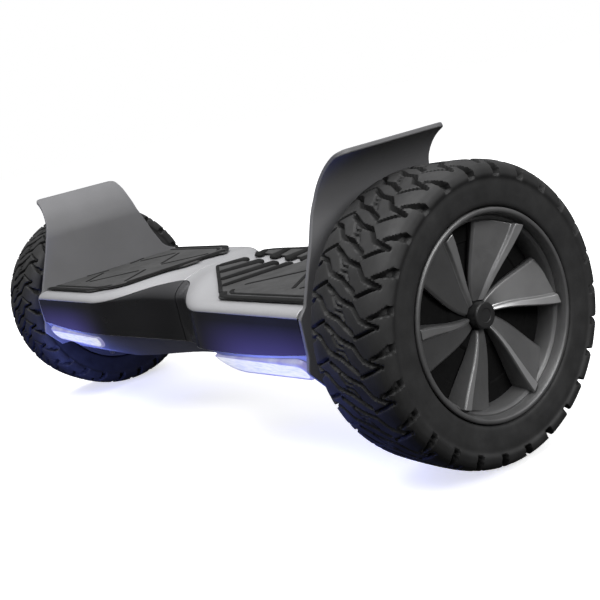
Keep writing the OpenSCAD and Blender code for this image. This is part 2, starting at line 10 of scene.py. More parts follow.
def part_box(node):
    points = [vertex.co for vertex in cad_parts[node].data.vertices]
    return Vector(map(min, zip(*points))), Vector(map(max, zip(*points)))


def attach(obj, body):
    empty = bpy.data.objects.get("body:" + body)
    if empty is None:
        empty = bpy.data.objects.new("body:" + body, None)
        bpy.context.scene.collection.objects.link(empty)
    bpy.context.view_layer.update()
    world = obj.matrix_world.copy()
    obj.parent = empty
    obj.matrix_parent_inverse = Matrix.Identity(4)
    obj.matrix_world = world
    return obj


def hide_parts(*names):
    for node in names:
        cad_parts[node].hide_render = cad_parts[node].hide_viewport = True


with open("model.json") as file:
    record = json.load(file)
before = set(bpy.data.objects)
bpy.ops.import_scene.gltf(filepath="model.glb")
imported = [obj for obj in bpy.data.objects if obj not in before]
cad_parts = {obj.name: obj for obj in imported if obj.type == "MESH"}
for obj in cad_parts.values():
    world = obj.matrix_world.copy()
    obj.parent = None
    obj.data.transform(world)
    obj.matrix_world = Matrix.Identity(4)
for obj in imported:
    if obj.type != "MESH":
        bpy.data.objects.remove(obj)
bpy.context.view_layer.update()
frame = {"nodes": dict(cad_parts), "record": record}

MM = 0.001
SIDES = {"left": -1, "right": 1}


def box_mm(node):
    """A node's lowest and highest corner in millimetres."""
    low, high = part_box(node)
    return np.array(low) / MM, np.array(high) / MM


# ---------- sizes, in millimetres, from the CAD part ----------

TYRE_LOW, TYRE_HIGH = box_mm("right_tyre")
TYRE_R = (TYRE_HIGH[2] - TYRE_LOW[2]) / 2
AXLE_Z = (TYRE_HIGH[2] + TYRE_LOW[2]) / 2
TYRE_IN, TYRE_OUT = TYRE_LOW[0], TYRE_HIGH[0]
TYRE_MID = (TYRE_IN + TYRE_OUT) / 2
HALF_W = (TYRE_OUT - TYRE_IN) / 2
RIM_LOW, RIM_HIGH = box_mm("right_rim")
LIP_R = (RIM_HIGH[2] - RIM_LOW[2]) / 2
LIP_X = RIM_HIGH[0]
BEAD_R = LIP_R - 3
FENDER_LOW, FENDER_HIGH = box_mm("right_fender")
FENDER_X = FENDER_LOW[0]
PAD_LOW, PAD_HIGH = box_mm("right_foot_pad")
DECK_LOW, DECK_HIGH = box_mm("right_deck_shell")
SEAM, END_X = DECK_LOW[0], DECK_HIGH[0]
END_DEPTH = DECK_HIGH[1]
MID_TOP = DECK_HIGH[2]
INLET_LOW, INLET_HIGH = box_mm("charge_inlet")
BUTTON_LOW, BUTTON_HIGH = box_mm("power_button")
INLET_X = (INLET_LOW[0] + INLET_HIGH[0]) / 2
BUTTON_X = (BUTTON_LOW[0] + BUTTON_HIGH[0]) / 2
REAR_Z = (BUTTON_LOW[2] + BUTTON_HIGH[2]) / 2

MID_DEPTH = 60
TAPER = 115
DECK_Z = MID_TOP - 9
WALL = 3
GAP = 0.3
RAIL_IN_END, RAIL_IN_MID = 11, 50
RAIL_DROP_END, RAIL_DROP_MID = 6.5, 22
RAIL_SPLIT_MID = 46
HUMP_IN, HUMP_OUT = 30, 110
PANEL_LOW_OUT, PANEL_LOW_MID = 100.5, 87
PANEL_RISE, RISE_FROM = 6.5, 130
LIP_DROP, POD_DROP, CHIN_IN = 3.5, 18, 14
POD_FROM = {-1: 45, 1: 105}     # the lower shell deepens from here towards the lamp
POD_LEN = {-1: 92, 1: 32}
KEEL_MID = 34
KEEL_END = {-1: 66, 1: 49}      # half of the flat underside's width at the wheels
BELLY_Z = {-1: 67, 1: 71}       # the left half is deeper, for the battery
INLET_HOLE_R, BUTTON_HOLE_R, PIVOT_HOLE_R = 9.15, 7.1, 20

# The camera looks along the board from in front of the right wheel, a little above the deck.
CAMERA_AT = Vector((0.80327, -0.45387, 0.27643))
CAMERA_FORWARD = Vector((-0.81858, 0.54025, -0.19507))
CAMERA_UP = Vector((-0.02803, 0.30163, 0.95301))
CAMERA_LENS = 57.63


def smooth(t):
    c = np.clip(t, 0, 1)
    return c * c * (3 - 2 * c)


def depth(x):
    return MID_DEPTH + (END_DEPTH - MID_DEPTH) * smooth(x / TAPER)


def top_z(x):
    return DECK_Z + (MID_TOP - DECK_Z) * (1 - smooth((x - HUMP_IN) / (HUMP_OUT - HUMP_IN)))


def panel_low(x):
    climb = PANEL_RISE * (max(0, x - RISE_FROM) / (END_X - RISE_FROM)) ** 2
    return PANEL_LOW_MID + (PANEL_LOW_OUT - PANEL_LOW_MID) * smooth(x / TAPER) + climb


def chin_z(x, side):
    drop = POD_DROP * smooth((x - POD_FROM[side]) / POD_LEN[side])
    return panel_low(x) - LIP_DROP - drop


def keel_y(x, side):
    return KEEL_MID + (KEEL_END[side] - KEEL_MID) * smooth(x / TAPER)


def mid_share(x):
    return 1 - smooth(x / TAPER)


def rail_in(x):
    return RAIL_IN_END + (RAIL_IN_MID - RAIL_IN_END) * mid_share(x)


def rail_drop(x):
    return RAIL_DROP_END + (RAIL_DROP_MID - RAIL_DROP_END) * mid_share(x)


def rail_split(x):
    return RAIL_SPLIT_MID * mid_share(x)


def panel_top(x):
    return top_z(x) - rail_drop(x)


def rail_point(x, degrees, t):
    """A point on the front rail, so many degrees up its rounding, set in by t."""
    a = math.radians(degrees)
    return (-(depth(x) - rail_in(x)) - (rail_in(x) - t) * math.cos(a),
            panel_top(x) + (rail_drop(x) - t) * math.sin(a))


# ---------- mesh helpers ----------

def add_mesh(name, points, faces, body, material, smooth_angle=35, side=1):
    """Makes a piece from points in millimetres and lets it ride on a body; side -1 mirrors it."""
    points = np.array(points, dtype=float) * MM
    if side < 0:
        points[:, 0] *= -1
        faces = [f[::-1] for f in faces]
    mesh = bpy.data.meshes.new(name)
    mesh.from_pydata(points.tolist(), [], [list(map(int, f)) for f in faces])
    mesh.update()
    mesh.shade_smooth()
    mesh.set_sharp_from_angle(angle=math.radians(smooth_angle))
    piece = bpy.data.objects.new(name, mesh)
    bpy.context.scene.collection.objects.link(piece)
    mesh.materials.append(material)
    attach(piece, body)
    return piece


def bevel(piece, width, segments=3, angle=40):
    mod = piece.modifiers.new("edges", "BEVEL")
    mod.width = width * MM
    mod.segments = segments
    mod.limit_method = "ANGLE"
    mod.angle_limit = math.radians(angle)
    mod.harden_normals = False
    return piece


def grid_faces(rows, columns, wrap_rows=False, wrap_columns=False):
    """Quads over a grid of points stored row by row."""
    faces = []
    for r in range(rows if wrap_rows else rows - 1):
        r2 = (r + 1) % rows
        for c in range(columns if wrap_columns else columns - 1):
            c2 = (c + 1) % columns
            faces.append((r * columns + c, r2 * columns + c, r2 * columns + c2, r * columns + c2))
    return faces


def shell(outer, inner):
    """Points and faces of a closed sheet between two grids of points."""
    rows, columns = outer.shape[:2]
    points = np.concatenate([outer.reshape(-1, 3), inner.reshape(-1, 3)])
    lift = rows * columns
    faces = grid_faces(rows, columns)
    faces += [tuple(i + lift for i in f[::-1]) for f in grid_faces(rows, columns)]
    loop = ([c for c in range(columns)] + [r * columns + columns - 1 for r in range(1, rows)]
            + [(rows - 1) * columns + c for c in range(columns - 2, -1, -1)]
            + [r * columns for r in range(rows - 2, 0, -1)])
    for a, b in zip(loop, loop[1:] + loop[:1]):
        faces.append((a, b, b + lift, a + lift))
    return points, faces


def lathe(profile, segments=144):
    """Turns a closed (x, radius) outline round the axle's line."""
    angles = np.arange(segments) * 2 * math.pi / segments
    rows = [[(x, -r * math.cos(a), AXLE_Z + r * math.sin(a)) for x, r in profile] for a in angles]
    points = np.array(rows).reshape(-1, 3)
    return points, grid_faces(segments, len(profile), True, True)


def arc(centre, radius, start, end, steps):
    """Points of an arc in a plane, angles in degrees."""
    return [(centre[0] + radius * math.cos(math.radians(a)),
             centre[1] + radius * math.sin(math.radians(a)))
            for a in np.linspace(start, end, steps)]


def loft(sections):
    """A solid through closed sections of the same number of points, with flat ends."""
    rows, columns = len(sections), len(sections[0])
    points = np.array(sections).reshape(-1, 3)
    faces = grid_faces(rows, columns, False, True)
    faces.append(tuple(range(columns)))
    faces.append(tuple((rows - 1) * columns + c for c in range(columns - 1, -1, -1)))
    return points, faces


def joined(parts):
    """Several (points, faces) as one."""
    points, faces = [], []
    for part_points, part_faces in parts:
        faces += [tuple(i + len(points) for i in f) for f in part_faces]
        points += np.array(part_points).tolist()
    return points, faces


def face_outwards(mesh):
    """Turns all the faces of a closed mesh outwards."""
    edit = bmesh.new()
    edit.from_mesh(mesh)
    bmesh.ops.recalc_face_normals(edit, faces=edit.faces)
    edit.to_mesh(mesh)
    edit.free()


# ---------- materials ----------

def new_material(name, color, roughness, metallic=0.0, coat=0.0, coat_roughness=0.1, specular=0.5):
    mat = bpy.data.materials.new(name)
    mat.use_nodes = True
    shader = mat.node_tree.nodes["Principled BSDF"]
    shader.inputs["Base Color"].default_value = (*color, 1)
    shader.inputs["Roughness"].default_value = roughness
    shader.inputs["Metallic"].default_value = metallic
    shader.inputs["Coat Weight"].default_value = coat
    shader.inputs["Coat Roughness"].default_value = coat_roughness
    shader.inputs["Specular IOR Level"].default_value = specular
    return mat


def add_node(mat, kind, **values):
    node = mat.node_tree.nodes.new(kind)
    for key, value in values.items():
        if key in node.inputs:
            node.inputs[key].default_value = value
        else:
            setattr(node, key, value)
    return node


def place(mat):
    """Object coordinates, so that a pattern keeps its real size on every piece."""
    return add_node(mat, "ShaderNodeTexCoord").outputs["Object"]


def noise(mat, scale, detail=4.0, rough=0.55, stretch=None):
    where = place(mat)
    if stretch:
        mapping = add_node(mat, "ShaderNodeMapping")
        mapping.inputs["Scale"].default_value = stretch
        mat.node_tree.links.new(where, mapping.inputs["Vector"])
        where = mapping.outputs["Vector"]
    node = add_node(mat, "ShaderNodeTexNoise", Scale=scale, Detail=detail, Roughness=rough)
    mat.node_tree.links.new(where, node.inputs["Vector"])
    return node.outputs["Fac"]


def ramp(mat, factor, stops):
    node = add_node(mat, "ShaderNodeValToRGB")
    elements = node.color_ramp.elements
    while len(elements) < len(stops):
        elements.new(0.5)
    for element, (at, value) in zip(elements, stops):
        element.position = at
        element.color = (*value, 1) if isinstance(value, tuple) else (value, value, value, 1)
    mat.node_tree.links.new(factor, node.inputs["Fac"])
    return node.outputs["Color"]


def shader_of(mat):
    return mat.node_tree.nodes["Principled BSDF"]


def paint(mat, factor, stops):
    mat.node_tree.links.new(ramp(mat, factor, stops), shader_of(mat).inputs["Base Color"])


def vary_roughness(mat, factor, low, high):
    mat.node_tree.links.new(ramp(mat, factor, [(0.25, low), (0.75, high)]),
                            shader_of(mat).inputs["Roughness"])


def emboss(mat, factor, distance, strength=0.5):
    """Bump from a factor; distance in millimetres."""
    node = add_node(mat, "ShaderNodeBump", Strength=strength, Distance=distance * MM)
    mat.node_tree.links.new(factor, node.inputs["Height"])
    mat.node_tree.links.new(node.outputs["Normal"], shader_of(mat).inputs["Normal"])


def grey(v):
    return (v, v, v)


def make_tyre_rubber():
    mat = new_material("tyre_rubber", grey(0.035), 0.62, specular=0.38)
    paint(mat, noise(mat, 60, 6), [(0.3, grey(0.019)), (0.55, grey(0.028)), (0.8, grey(0.040))])
    vary_roughness(mat, noise(mat, 90, 3), 0.52, 0.72)
    emboss(mat, noise(mat, 1400, 3), 0.12, 0.35)
    return mat


def make_rim_metal(name, low, high, roughness=0.42):
    mat = new_material(name, grey(high), roughness, 0.55, specular=0.5)
    paint(mat, noise(mat, 25, 3), [(0.3, grey(low)), (0.7, grey(high))])
    vary_roughness(mat, noise(mat, 220, 3), roughness - 0.06, roughness + 0.08)
    emboss(mat, noise(mat, 2600, 2), 0.05, 0.25)
    return mat


def make_fender_plastic():
    mat = new_material("fender_grey", (0.16, 0.16, 0.165), 0.46, specular=0.45)
    paint(mat, noise(mat, 18, 3), [(0.3, (0.150, 0.150, 0.154)), (0.7, (0.172, 0.172, 0.177))])
    vary_roughness(mat, noise(mat, 120, 3), 0.42, 0.52)
    emboss(mat, noise(mat, 2200, 2), 0.08, 0.3)
    return mat


def make_silver_paint():
    mat = new_material("silver_deck", (0.46, 0.46, 0.47), 0.4, 0.35, 0.25, 0.2)
    paint(mat, noise(mat, 3000, 1), [(0.35, (0.40, 0.40, 0.41)), (0.65, (0.50, 0.50, 0.51))])
    vary_roughness(mat, noise(mat, 70, 3), 0.36, 0.46)
    return mat


def make_gloss_black():
    mat = new_material("gloss_black", (0.020, 0.020, 0.022), 0.24, 0.0, 0.4, 0.16, 0.5)
    paint(mat, noise(mat, 12, 2), [(0.3, (0.018, 0.018, 0.019)), (0.7, (0.026, 0.026, 0.028))])
    vary_roughness(mat, noise(mat, 30, 2), 0.22, 0.28)
    return mat


def make_matt_plastic(name, color, roughness=0.55):
    mat = new_material(name, color, roughness)
    light = tuple(min(1.0, c * 1.18) for c in color)
    paint(mat, noise(mat, 40, 4), [(0.3, color), (0.75, light)])
    vary_roughness(mat, noise(mat, 180, 3), roughness - 0.06, roughness + 0.1)
    emboss(mat, noise(mat, 1800, 2), 0.1, 0.3)
    return mat


def make_pad_rubber(name, low, high):
    mat = new_material(name, grey(high), 0.62, specular=0.1)
    paint(mat, noise(mat, 45, 5), [(0.3, grey(low)), (0.72, grey(high))])
    vary_roughness(mat, noise(mat, 140, 3), 0.56, 0.72)
    emboss(mat, noise(mat, 1500, 3), 0.1, 0.3)
    return mat


def make_metal(name, color, roughness, stretch=None):
    mat = new_material(name, color, roughness, 0.9)
    dark = tuple(c * 0.86 for c in color)
    paint(mat, noise(mat, 90, 4, stretch=stretch), [(0.3, dark), (0.7, color)])
    vary_roughness(mat, noise(mat, 240, 3, stretch=stretch), roughness - 0.08, roughness + 0.1)
    emboss(mat, noise(mat, 900, 3, stretch=stretch), 0.05, 0.2)
    return mat


def make_lens():
    """The lamp's cover: lit from behind by the strip of lamps, brightest along its middle."""
    mat = new_material("lens", (0.20, 0.20, 0.22), 0.25, 0.0, 0.3, 0.1)
    shader = shader_of(mat)
    glow = ramp(mat, noise(mat, 90, 3, stretch=(1, 0.2, 6)),
                [(0.30, (0.62, 0.68, 0.80)), (0.50, (0.84, 0.87, 0.95)), (0.72, (0.97, 0.97, 1.0))])
    mat.node_tree.links.new(glow, shader.inputs["Emission Color"])
    shader.inputs["Emission Strength"].default_value = 0.86
    return mat


def make_lens_rim():
    """The lamp cover's rounded border, which lets less light through."""
    mat = new_material("lens_rim", (0.12, 0.12, 0.16), 0.3, 0.0, 0.3, 0.1)
    shader = shader_of(mat)
    glow = ramp(mat, noise(mat, 70, 2), [(0.3, (0.22, 0.20, 0.50)), (0.7, (0.42, 0.44, 0.62))])
    mat.node_tree.links.new(glow, shader.inputs["Emission Color"])
    shader.inputs["Emission Strength"].default_value = 0.8
    return mat


# Where the painted pool of lamp light on the front panels sits, and how it fades.
GLOW_MIDDLE = 0.205             # metres from the board's middle to the glow's middle
GLOW_FULL, GLOW_NONE = 0.02, 0.115      # the glow fades between these distances from there
GLOW_FOOT, GLOW_TOP = 0.094, 0.128      # and between these heights


def paint_lamp_glow(mat, color, strength):
    """Paints the lamp's light onto a surface as a glow of its own: a painted pool of light,
    strongest at its foot, next to the lamp.
    """
    parts = add_node(mat, "ShaderNodeSeparateXYZ")
    mat.node_tree.links.new(place(mat), parts.inputs["Vector"])
    up = add_node(mat, "ShaderNodeMapRange", **{"From Min": GLOW_TOP, "From Max": GLOW_FOOT})
    mat.node_tree.links.new(parts.outputs["Z"], up.inputs["Value"])
    size = add_node(mat, "ShaderNodeMath", operation="ABSOLUTE")
    mat.node_tree.links.new(parts.outputs["X"], size.inputs[0])
    away = add_node(mat, "ShaderNodeMath", operation="SUBTRACT")
    mat.node_tree.links.new(size.outputs["Value"], away.inputs[0])
    away.inputs[1].default_value = GLOW_MIDDLE
    apart = add_node(mat, "ShaderNodeMath", operation="ABSOLUTE")
    mat.node_tree.links.new(away.outputs["Value"], apart.inputs[0])
    near = add_node(mat, "ShaderNodeMapRange", interpolation_type="SMOOTHSTEP",
                    **{"From Min": GLOW_NONE, "From Max": GLOW_FULL})
    mat.node_tree.links.new(apart.outputs["Value"], near.inputs["Value"])
    both = add_node(mat, "ShaderNodeMath", operation="MULTIPLY")
    mat.node_tree.links.new(up.outputs["Result"], both.inputs[0])
    mat.node_tree.links.new(near.outputs["Result"], both.inputs[1])
    level = add_node(mat, "ShaderNodeMath", operation="MULTIPLY")
    mat.node_tree.links.new(both.outputs["Value"], level.inputs[0])
    level.inputs[1].default_value = strength
    shader_of(mat).inputs["Emission Color"].default_value = (*color, 1)
    mat.node_tree.links.new(level.outputs["Value"], shader_of(mat).inputs["Emission Strength"])
    return mat


MATERIALS = {
    "tyre_rubber": make_tyre_rubber(),
    "rim_metal": make_rim_metal("rim_metal", 0.14, 0.19),
    # near-black: the motor's black cover, darkened further as painted shade behind the blades
    "rim_dark_painted_shade": make_rim_metal("rim_dark_painted_shade", 0.002, 0.004, 0.85),
    # a lighter, glossier copy of the rim metal: a painted highlight on the blades' ridges
    "rim_painted_highlight": make_rim_metal("rim_painted_highlight", 0.34, 0.42, 0.34),
    "fender_grey": make_fender_plastic(),
    "silver_deck": make_silver_paint(),
    "gloss_black": make_gloss_black(),
    # front panels: gloss black with the lamp's light painted on as a glow
    "gloss_black_painted_lamplight": paint_lamp_glow(make_gloss_black(), (0.075, 0.060, 0.30), 0.72),
    "matt_black": make_matt_plastic("matt_black", (0.030, 0.030, 0.032)),
    # the belly's light grey is painted light from the lamps on a black shell
    "belly_painted_lamplight": make_matt_plastic("belly_painted_lamplight", (0.30, 0.30, 0.31), 0.5),
    "pad_rubber": make_pad_rubber("pad_rubber", 0.050, 0.072),
    "pad_dark": make_pad_rubber("pad_dark", 0.010, 0.015),
    "lens": make_lens(),
    "lens_rim": make_lens_rim(),
    "led_board": make_matt_plastic("led_board", (0.80, 0.80, 0.82), 0.4),
    "circuit_board": make_matt_plastic("circuit_board", (0.03, 0.16, 0.07), 0.4),
    "cast_frame": make_metal("cast_frame", (0.42, 0.42, 0.43), 0.45),
    "steel": make_metal("steel", (0.55, 0.55, 0.56), 0.28, (1, 12, 12)),
    "stator": make_metal("stator", (0.48, 0.22, 0.09), 0.4, (14, 1, 1)),
    "magnets": make_metal("magnets", (0.30, 0.30, 0.32), 0.3),
    "black_screw": make_metal("black_screw", (0.035, 0.035, 0.037), 0.4),
    "hub_black": make_rim_metal("hub_black", 0.045, 0.065, 0.4),
    "battery_wrap": make_matt_plastic("battery_wrap", (0.02, 0.07, 0.32), 0.3),
    "bracket": make_metal("bracket", (0.52, 0.52, 0.53), 0.35),
    "inlet_plastic": make_matt_plastic("inlet_plastic", (0.022, 0.022, 0.023), 0.4),
    "button_metal": make_metal("button_metal", (0.30, 0.30, 0.31), 0.3),
    "bush_bronze": make_metal("bush_bronze", (0.52, 0.33, 0.12), 0.35),
    "cable": make_pad_rubber("cable", 0.016, 0.026),
}


# ---------- tyre: a fine height field over the tread and its shoulders ----------

TREAD_COUNT = 26
PITCH = 2 * math.pi * TYRE_R / TREAD_COUNT
AROUND_STEPS = 26       # points along one pitch of the tread
SECTION_STEP = 0.85     # distance between points across the section

# Half of the section, from the middle of the tread out to the bead: (offset, radius).
TYRE_HALF = [(0, TYRE_R), (12, TYRE_R - 0.1), (22, TYRE_R - 0.5), (28, TYRE_R - 1.2),
             (33, TYRE_R - 2.6), (36.6, TYRE_R - 4.6), (38.9, TYRE_R - 7.4),
             (HALF_W, TYRE_R - 11), (HALF_W, TYRE_R - 13), (38.3, TYRE_R - 14.6),
             (38.4, TYRE_R - 19), (38.0, TYRE_R - 25), (37.2, BEAD_R + 6), (36.4, BEAD_R + 4.2),
             (33.4, BEAD_R + 3.4), (31.9, BEAD_R + 3.3), (31.9, BEAD_R)]
SHOULDER = 33           # distance across the tread at which the shoulder starts
LUG_END = 46            # and at which the shoulder blocks end


def resample(points, step):
    """Points at even distances along a polyline."""
    points = np.array(points, dtype=float)
    lengths = np.hypot(*np.diff(points, axis=0).T)
    at = np.concatenate([[0], np.cumsum(lengths)])
    count = int(at[-1] / step) + 1
    where = np.linspace(0, at[-1], count)
    return where, np.stack([np.interp(where, at, points[:, k]) for k in (0, 1)], axis=1)


def soften(points, rounds):
    """Rounds a polyline off, keeping its two ends."""
    points = points.copy()
    for _ in range(rounds):
        points[1:-1] = (points[:-2] + 2 * points[1:-1] + points[2:]) / 4
    return points


def distance_to(s, t, path):
    """Distance from each (s, t) to a path that repeats every pitch."""
    best = np.full(s.shape, 1e9)
    for shift in (-2 * PITCH, -PITCH, 0, PITCH, 2 * PITCH):
        for (s0, t0), (s1, t1) in zip(path, path[1:]):
            ds, dt = s1 - s0, t1 - t0
            along = ((s - s0) * ds + (t - t0 - shift) * dt) / (ds * ds + dt * dt)
            along = np.clip(along, 0, 1)
            best = np.minimum(best, np.hypot(s - s0 - along * ds, t - t0 - shift - along * dt))
    return best


def groove(s, t, path, half_width, deep, wall=0.55):
    d = distance_to(s, t, path)
    return deep * (1 - smooth((d - half_width + wall) / (2 * wall)))


MAIN_GROOVE = [(34.7, 0), (21, 4.4), (13.4, 13.4), (1, 16.8), (-13.6, 26)]
SIPE_DOWN = [(34.7, 0), (16, -7.3)]
SHOULDER_CUT = [(60, 13.5), (42, 11.3), (28.5, 5.3)]
SMALL_SIPE = [(7, 2.6), (3.5, 8.4), (-3, 9.6)]
MIRROR_AT = 21.6        # the tread's other half is this one turned half round about (0, this / 2)


def turned(path):
    return [(-s, MIRROR_AT - t) for s, t in path]


def tread_depth(s, t):
    """How far the rubber lies below the blocks' faces."""
    off = np.abs(s)
    fade = 1 - smooth((off - LUG_END + 1) / 3)
    cut_half = 1.0 + 1.9 * smooth((off - SHOULDER) / 10)
    total = np.zeros(s.shape)
    for path, half_width, deep in ((MAIN_GROOVE, 1.3, 6.0), (SIPE_DOWN, 0.85, 4.5),
                                   (SHOULDER_CUT, cut_half, 5.0), (SMALL_SIPE, 0.6, 1.6)):
        for way in (path, turned(path)):
            total = np.maximum(total, groove(s, t, way, half_width, deep))
    return total * fade


def tyre_points():
    where, half = resample(TYRE_HALF, SECTION_STEP)
    half = soften(half, 2)
    s = np.concatenate([-where[:0:-1], where])
    section = np.concatenate([half[:0:-1] * [-1, 1], half])
    slope = np.gradient(section, axis=0)
    normal = np.stack([-slope[:, 1], slope[:, 0]], axis=1)
    normal /= np.linalg.norm(normal, axis=1)[:, None]
    t = np.arange(AROUND_STEPS) * PITCH / AROUND_STEPS
    s_grid, t_grid = np.meshgrid(s, t)
    deep = tread_depth(s_grid, t_grid)
    deep = np.tile(deep, (TREAD_COUNT, 1))
    rows = len(deep)
    angle = (np.arange(rows) * 2 * math.pi / rows)[:, None]
    across = section[:, 0] - normal[:, 0] * deep
    radius = section[:, 1] - normal[:, 1] * deep
    return np.stack([TYRE_MID + across, -radius * np.cos(angle),
                     AXLE_Z + radius * np.sin(angle)], axis=2)


def make_tyre(name, side):
    grid = tyre_points()
    rows, columns = grid.shape[:2]
    faces = grid_faces(rows, columns, True, False)
    bead = [((r + 1) % rows * columns, r * columns, r * columns + columns - 1,
             (r + 1) % rows * columns + columns - 1) for r in range(rows)]
    piece = add_mesh(f"{name}_tyre_tread", grid.reshape(-1, 3), faces + bead,
                     f"{name}_wheel", MATERIALS["tyre_rubber"], 50, side)
    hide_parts(f"{name}_tyre")


# ---------- rim ----------

DRUM_R = 64.5
HUB_X = TYRE_IN + 55
BLADE_COUNT = 6
BLADE_FIRST = 24.5      # degrees from straight up to the first blade's middle
BLADE_R0, BLADE_R1 = 9.9, DRUM_R + 1.2
BLADE_SECTIONS = 16
BLADE_POINTS = 8        # points round one blade's section
SIDE_FACES = (BLADE_SECTIONS - 1) * BLADE_POINTS
BLADE_FACES = SIDE_FACES + 2
HIGHLIGHT_FACES = (3, 4)          # the faces of a section that carry the painted highlight along its ridge
BLADE_SWIRL = -16       # how far a blade's root turns from its outer end


def make_rim_ring(name, side):
    """The barrel that carries the tyre, with its rounded lip and the step inside it."""
    inner_lip = [(TYRE_IN + 4, DRUM_R), (TYRE_IN + 4, LIP_R), (TYRE_IN + 7, LIP_R),
                 (TYRE_IN + 7, BEAD_R - 0.05)]
    lip = ([(LIP_X - 5, BEAD_R - 0.05), (LIP_X - 5, LIP_R - 0.8)]
           + arc((LIP_X - 1.6, LIP_R - 1.6), 1.6, 90, 0, 5)
           + arc((LIP_X - 1.4, BEAD_R + 0.6), 1.4, 0, -80, 4))
    step = [(LIP_X - 4.5, BEAD_R - 1.6), (LIP_X - 7.5, DRUM_R + 4.6), (LIP_X - 7.2, DRUM_R + 3.4),
            (LIP_X - 8.4, DRUM_R + 2.2), (LIP_X - 9.8, DRUM_R + 1.6), (HUB_X + 0.5, DRUM_R)]
    points, faces = lathe(inner_lip + lip + step)
    piece = add_mesh(f"{name}_rim_barrel", points, faces, f"{name}_wheel",
                     MATERIALS["rim_metal"], 40, side)
    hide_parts(f"{name}_rim")


def make_rim_plate(name, side):
    """The disc behind the blades, with the motor's raised ring round the hub: the motor's black
    cover, near-black as painted shade in the windows between the blades.
    """
    profile = [(HUB_X - 4, 8.6), (HUB_X - 4, DRUM_R + 0.4), (HUB_X, DRUM_R + 0.4), (HUB_X, 52),
               (HUB_X - 0.8, 51), (HUB_X - 0.8, 26), (HUB_X + 0.6, 24), (HUB_X + 0.6, 8.6)]
    points, faces = lathe(profile)
    piece = add_mesh(f"{name}_rim_disc", points, faces, f"{name}_wheel",
                     MATERIALS["rim_dark_painted_shade"], 30, side)
    bevel(piece, 0.5, 2)


def blade_section(r):
    """One blade's section at radius r: (along the turning direction, outwards)."""
    share = (r - BLADE_R0) / (BLADE_R1 - BLADE_R0)
    half = 5 + 14 * share ** 0.9
    high = 5.5 + 14 * share ** 0.8
    low = 2 + 3.5 * share
    band = 2.6 + 5 * share
    return [(-half + 0.8, 0.2), (-half, low - 0.6), (-half + 1.6, low + 1.2),
            (half - band - 1.2, high - 2.6 - 1.5 * share), (half - band, high - 1.2),
            (half - 0.9, high), (half, high - 1.2), (half, 0.2)]


def make_blade(degrees):
    """One blade, from the hub outwards; its root lags behind its outer end."""
    sections = []
    for r in np.linspace(BLADE_R0, BLADE_R1, BLADE_SECTIONS):
        to_end = 1 - (r - BLADE_R0) / (BLADE_R1 - BLADE_R0)
        a = math.radians(degrees) + math.radians(BLADE_SWIRL) * to_end ** 2
        sections.append([(HUB_X + v, r * math.sin(a) + u * math.cos(a),
                          AXLE_Z + r * math.cos(a) - u * math.sin(a))
                         for u, v in blade_section(r)])
    return loft(sections)


def make_blades(name, side):
    points, faces = joined([make_blade(BLADE_FIRST + k * 360 / BLADE_COUNT)
                            for k in range(BLADE_COUNT)])
    piece = add_mesh(f"{name}_rim_blades", points, faces, f"{name}_wheel",
                     MATERIALS["rim_metal"], 28, side)
    face_outwards(piece.data)
    bevel(piece, 0.6, 3, 24)
    # The ridge faces get the lighter copy of the rim metal, a painted highlight.
    piece.data.materials.append(MATERIALS["rim_painted_highlight"])
    for number, face in enumerate(piece.data.polygons):
        on_blade = number % BLADE_FACES
        if on_blade < SIDE_FACES and on_blade % BLADE_POINTS in HIGHLIGHT_FACES:
            face.material_index = 1


def make_hub(name, side):
    """The round cup over the end of the axle."""
    end = HUB_X + 10.5
    profile = [(HUB_X + 0.1, 8.1), (HUB_X + 0.1, 9.5)]
    profile += arc((end - 1.3, 8.2), 1.3, 90, 0, 6)
    profile += [(end, 5.2), (end - 0.4, 4.8), (end - 0.4, 0.05), (end - 2.5, 0.05),
                (end - 2.5, 8.1)]
    points, faces = lathe(profile, 96)
    piece = add_mesh(f"{name}_hub_cup", points, faces, f"{name}_wheel",
                     MATERIALS["hub_black"], 40, side)
    face_outwards(piece.data)
    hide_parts(f"{name}_hub_cap")


# ---------- housing ----------

STATION_STEP = 3.0
RAIL_STEPS = 13         # points up the rounding of the deck's edge


def stations():
    return np.linspace(SEAM, END_X, int((END_X - SEAM) / STATION_STEP) + 1)


def both_sides(half):
    """A front half of a section and its mirror image at the back."""
    return half + [(-y, z) for y, z in half[::-1]]


def deck_section(x, t):
    start = rail_split(x)
    rail = [rail_point(x, a, t) for a in np.linspace(start, 90, RAIL_STEPS)]
    middle = [(-(depth(x) - rail_in(x)) * k, top_z(x) - t) for k in (0.8, 0.55, 0.3, 0.1)]
    return both_sides(rail + middle)


def panel_section(x, t):
    d = depth(x) - t
    mid = (panel_top(x) + panel_low(x)) / 2
    foot = [(-(d - 0.5), panel_low(x) + GAP), (-(d - 0.35), (panel_low(x) + mid) / 2 - 1), (-d, mid)]
    last = rail_split(x) - 2 + mid_share(x)
    return foot + [rail_point(x, a, t) for a in np.linspace(-6, last, 9)]


def belly_section(x, t, side):
    d = depth(x)
    chin = (-(d - CHIN_IN - t * 0.8), chin_z(x, side) + t * 0.45)
    lip = (-(d - 0.5 - t), panel_low(x))
    keel = keel_y(x, side)
    half = [lip, tuple((np.array(lip) * 2 + np.array(chin)) / 3),
            tuple((np.array(lip) + np.array(chin) * 2) / 3), chin, (-keel, BELLY_Z[side] + t),
            (-keel * 0.4, BELLY_Z[side] + t)]
    return both_sides(half)


def section_grid(section, t, flip=1):
    return np.array([[(x, flip * y, z) for y, z in section(x, t)] for x in stations()])


def closed_sheet(section, flip=1):
    points, faces = shell(section_grid(section, 0, flip), section_grid(section, WALL, flip))
    if flip < 0:
        faces = [f[::-1] for f in faces]
    return points, faces


